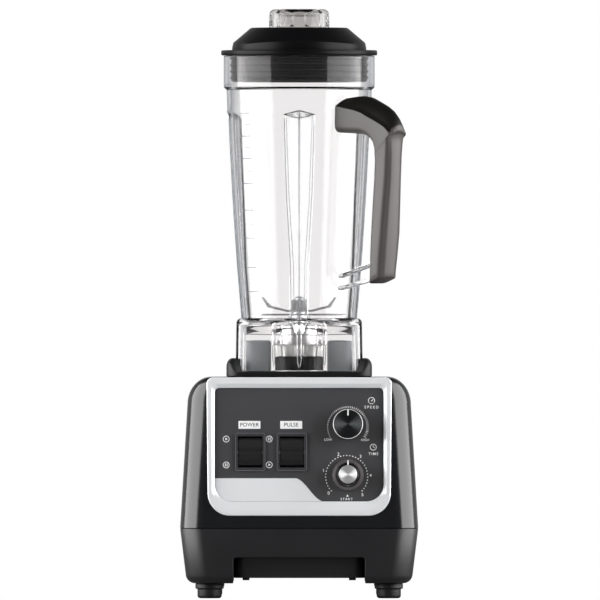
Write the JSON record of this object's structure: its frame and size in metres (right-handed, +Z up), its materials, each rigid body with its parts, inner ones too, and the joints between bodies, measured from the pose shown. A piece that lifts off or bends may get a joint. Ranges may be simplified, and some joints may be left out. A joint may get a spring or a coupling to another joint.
{
  "type": "countertop blender",
  "caption": "Countertop blender: motor base with rocker switches and two dials, clear lidded jar with a handle, and a blade unit that lifts off with the jar.",
  "frame": {"origin": "on the surface that the feet stand on, under the drive axis, at the middle of the plan box", "axes": "+Z up along the drive axis, -Y the front with the controls, +X the right-hand side seen from the front"},
  "size_m": [0.206, 0.2483, 0.5105],
  "materials": {
    "gloss_casing": "glossy moulded ABS, near black",
    "satin_casing": "satin moulded ABS, near black",
    "silver_trim": "satin silver",
    "fascia_grey": "fine matt dark grey",
    "black_rubber": "moulded rubber",
    "bezel_black": "satin black",
    "rocker_gloss": "glossy black",
    "knob_black": "satin black",
    "spun_black": "spun, black",
    "knob_smoke": "clear smoke grey",
    "spun_silver": "spun",
    "clear_jar": "clear moulded copolyester",
    "handle_grey": "satin warm grey",
    "blade_steel": "ground stainless steel",
    "zinc_steel": "zinc plated",
    "nut_steel": "turned",
    "lamination": "varnished steel laminations",
    "copper": "enamelled copper wire",
    "carbon": "pressed carbon",
    "board_green": "solder mask",
    "fan_nylon": "moulded nylon",
    "ball_steel": "polished bearing steel"
  },
  "bodies": {
    "base": {"upper_housing": "gloss_casing", "lower_housing": "satin_casing", "bottom_cover": "satin_casing", "cover_screws": "zinc_steel", "feet": "black_rubber", "foot_screws": "zinc_steel", "cord_gland": "black_rubber", "rear_vent": "satin_casing", "front_frame": "silver_trim", "control_fascia": "fascia_grey", "fascia_inlay": "silver_trim", "power_switch": "bezel_black", "pulse_switch": "bezel_black", "rocker_pins": "zinc_steel", "speed_potentiometer": "zinc_steel", "timer_unit": "bezel_black", "control_board": "board_green", "heat_sink": "nut_steel", "jar_pad": "black_rubber", "motor_mounts": "black_rubber", "upper_motor_bracket": "nut_steel", "lower_motor_bracket": "nut_steel", "upper_bearing": "ball_steel", "lower_bearing": "ball_steel", "motor_stator": "lamination", "field_windings": "copper", "motor_bolts": "zinc_steel", "brush_holders": "bezel_black", "carbon_brushes": "carbon", "fan_shroud": "satin_casing"},
    "rotor": {"motor_shaft": "blade_steel", "armature": "lamination", "commutator": "copper", "cooling_fan": "fan_nylon", "drive_socket": "blade_steel"},
    "speed_dial": {"speed_knob": "knob_black", "speed_knob_disc": "spun_black", "speed_knob_shaft": "zinc_steel"},
    "timer_dial": {"timer_knob": "knob_smoke", "timer_knob_disc": "spun_silver", "timer_knob_shaft": "zinc_steel"},
    "power_button": {"power_rocker": "rocker_gloss"},
    "pulse_button": {"pulse_rocker": "rocker_gloss"},
    "container": {"jar": "clear_jar", "handle": "handle_grey", "bearing_housing": "nut_steel", "blade_bearings": "ball_steel", "shaft_seal": "black_rubber", "hub_gasket": "black_rubber", "retaining_nut": "nut_steel"},
    "blades": {"blade_shaft": "blade_steel", "lower_blades": "blade_steel", "blade_spacer": "blade_steel", "upper_blades": "blade_steel", "blade_cap_nut": "blade_steel"},
    "cover": {"lid": "black_rubber"},
    "plug": {"filler_cap": "clear_jar"}
  },
  "joints": [
    {"name": "motor_spin", "type": "hinge", "parent": "base", "child": "rotor", "pos_m": [0, 0, 0.15], "axis": [0, 0, 1], "continuous": true},
    {"name": "speed_turn", "type": "hinge", "parent": "base", "child": "speed_dial", "pos_m": [0.04215, -0.10531, 0.1502], "axis": [0, -0.9986, 0.0523], "range_deg": [-270, 0]},
    {"name": "timer_turn", "type": "hinge", "parent": "base", "child": "timer_dial", "pos_m": [0.04215, -0.10759, 0.1067], "axis": [0, -0.9986, 0.0523], "range_deg": [-300, 0]},
    {"name": "power_rock", "type": "hinge", "parent": "base", "child": "power_button", "pos_m": [-0.0423, -0.09955, 0.12633], "axis": [1, 0, 0], "range_deg": [-7, 7]},
    {"name": "pulse_rock", "type": "hinge", "parent": "base", "child": "pulse_button", "pos_m": [-0.0063, -0.09955, 0.12633], "axis": [1, 0, 0], "range_deg": [-7, 7], "stiffness_Nm_per_rad": 0.1},
    {"name": "jar_lift", "type": "slide", "parent": "base", "child": "container", "axis": [0, 0, 1], "range_m": [0, 0.06]},
    {"name": "blade_spin", "type": "hinge", "parent": "container", "child": "blades", "pos_m": [0, 0, 0.24], "axis": [0, 0, 1], "continuous": true},
    {"name": "lid_lift", "type": "slide", "parent": "container", "child": "cover", "axis": [0, 0, 1], "range_m": [0, 0.04]},
    {"name": "cap_lift", "type": "slide", "parent": "cover", "child": "plug", "axis": [0, 0, 1], "range_m": [0, 0.035]}
  ],
  "couplings": [
    {"joint": "blade_spin", "follows": "motor_spin", "ratio": 1}
  ]
}
